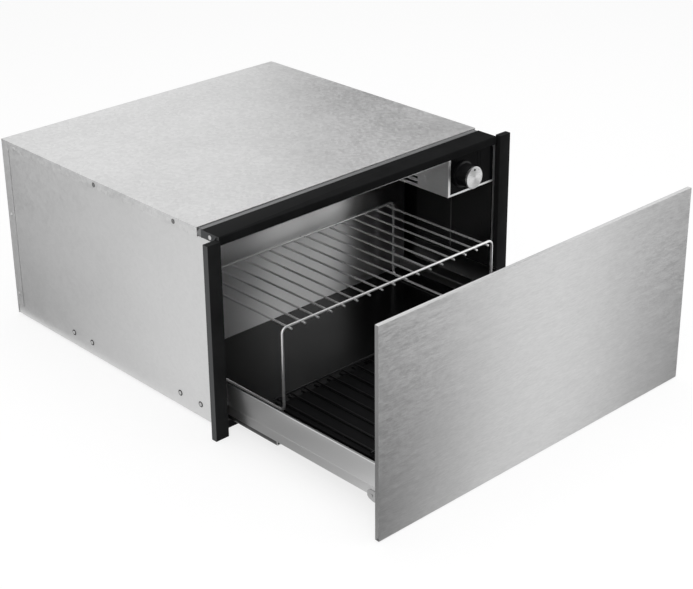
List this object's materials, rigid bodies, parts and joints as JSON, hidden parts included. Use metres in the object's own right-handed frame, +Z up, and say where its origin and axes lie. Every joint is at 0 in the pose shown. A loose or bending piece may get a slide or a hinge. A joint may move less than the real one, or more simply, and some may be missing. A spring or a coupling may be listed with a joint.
{
  "type": "warming drawer",
  "caption": "Built in warming drawer: sheet metal casing, stainless drawer on telescopic runners with a lift-out wire rack, control knob and fan heater.",
  "frame": {"origin": "underside of the casing's base sheet, on the centre line, below the front edge of the casing's top sheet", "axes": "+X to the right seen from the front, +Y to the back, +Z up; the drawer opens towards -Y"},
  "size_m": [0.594, 0.8352, 0.292],
  "materials": {
    "galvanised": "galvanised sheet with a fine light spangle",
    "galvanised_inner": "plain galvanised sheet",
    "stainless": "fine brushed stainless steel",
    "zinc_steel": "bright zinc plated steel",
    "black_satin": "satin black paint",
    "black_gloss": "glossy black",
    "black_plastic": "black plastic",
    "black_wire": "black coated wire",
    "black_enamel": "smooth black enamel",
    "rubber": "black non-slip mat",
    "chrome": "bright chrome wire",
    "silver": "brushed silver",
    "ceramic": "pale ceramic and heatproof plastic",
    "sheath": "dark metal heater sheath"
  },
  "bodies": {
    "casing": {"top_panel": "galvanised", "rear_panel": "galvanised", "left_side_panel": "galvanised", "right_side_panel": "galvanised", "base_panel": "galvanised_inner", "top_rail": "black_satin", "joint_strip": "galvanised", "inner_trim": "stainless", "left_post": "black_satin", "right_post": "black_satin", "bottom_rail": "black_satin", "left_liner": "black_enamel", "right_liner": "black_enamel", "left_mouth_liner": "black_enamel", "right_mouth_liner": "black_enamel", "left_cabinet_rail": "zinc_steel", "right_cabinet_rail": "zinc_steel", "latch_housing": "black_plastic", "heater_box": "stainless", "control_fascia": "black_gloss", "thermostat": "ceramic", "fan_frame": "galvanised_inner", "fan_motor": "zinc_steel", "heating_element": "sheath", "thermal_cutout": "ceramic", "terminal_block": "ceramic", "cable_bush": "black_plastic"},
    "drawer": {"drawer_pan": "stainless", "drawer_rear_wall": "stainless", "drawer_front_wall": "stainless", "front_panel": "stainless", "panel_backing": "galvanised_inner", "left_panel_bracket": "zinc_steel", "right_panel_bracket": "zinc_steel", "left_drawer_rail": "stainless", "right_drawer_rail": "stainless", "floor_plate": "black_enamel", "floor_mat": "rubber", "floor_grid": "black_wire", "wire_rack": "chrome", "latch_striker": "zinc_steel"},
    "left_mid_runner": {"left_mid_rail": "zinc_steel"},
    "right_mid_runner": {"right_mid_rail": "zinc_steel"},
    "knob": {"knob_body": "black_plastic", "knob_cap": "silver", "knob_index": "black_plastic"},
    "fan_rotor": {"fan_impeller": "silver"},
    "latch_pin": {"latch_plunger": "black_plastic"}
  },
  "joints": [
    {"name": "drawer_slide", "type": "slide", "parent": "casing", "child": "drawer", "axis": [0, 1, 0], "range_m": [-0.105, 0.295]},
    {"name": "left_runner_slide", "type": "slide", "parent": "casing", "child": "left_mid_runner", "axis": [0, 1, 0], "range_m": [-0.0525, 0.1475]},
    {"name": "right_runner_slide", "type": "slide", "parent": "casing", "child": "right_mid_runner", "axis": [0, 1, 0], "range_m": [-0.0525, 0.1475]},
    {"name": "knob_turn", "type": "hinge", "parent": "casing", "child": "knob", "pos_m": [0.1955, -0.05, 0.2455], "axis": [0, 1, 0], "range_deg": [0, 270]},
    {"name": "fan_spin", "type": "hinge", "parent": "casing", "child": "fan_rotor", "pos_m": [0.2, 0.088, 0.243], "axis": [0, 1, 0], "continuous": true},
    {"name": "latch_push", "type": "slide", "parent": "casing", "child": "latch_pin", "axis": [0, 1, 0], "range_m": [0, 0.003], "stiffness_N_per_m": 400}
  ],
  "couplings": [
    {"joint": "left_runner_slide", "follows": "drawer_slide", "ratio": 0.5},
    {"joint": "right_runner_slide", "follows": "drawer_slide", "ratio": 0.5}
  ]
}
